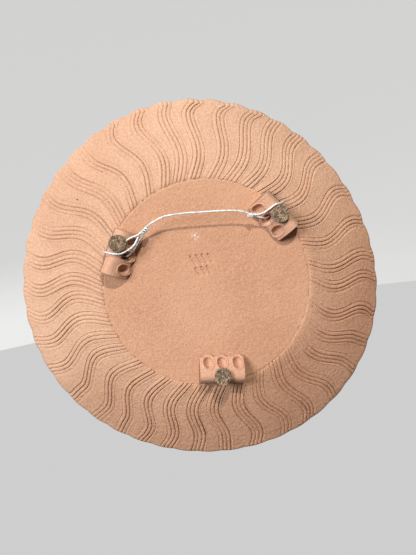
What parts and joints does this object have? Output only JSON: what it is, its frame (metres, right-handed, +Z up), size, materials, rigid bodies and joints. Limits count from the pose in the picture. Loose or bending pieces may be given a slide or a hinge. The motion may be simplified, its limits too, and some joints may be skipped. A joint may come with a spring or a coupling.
{
  "type": "decorative wall plaque",
  "caption": "Round dished clay wall plaque with a combed back, a glazed face, and clay lugs that carry felt bumpers and the picture wire it hangs by.",
  "frame": {"origin": "on the centre line of the picture wire, right above the middle of the dish, where the hook takes it", "axes": "+Z up as it hangs, +Y square to the plaque and towards the wall, so the glazed face looks along -Y; +X to the right from the front"},
  "size_m": [0.2777, 0.0436, 0.2795],
  "materials": {
    "terracotta": "bare fired clay, matt and sandy; the face of the dish carries a gloss glaze",
    "brown_felt": "pressed heathered felt",
    "picture_wire": "twisted galvanised strands"
  },
  "bodies": {
    "root": {"plaque_body": "terracotta", "lug_left": "terracotta", "lug_right": "terracotta", "lug_bottom": "terracotta", "felt_bumper_left": "brown_felt", "felt_bumper_right": "brown_felt", "felt_bumper_bottom": "brown_felt", "hanging_wire": "picture_wire"}
  },
  "joints": []
}
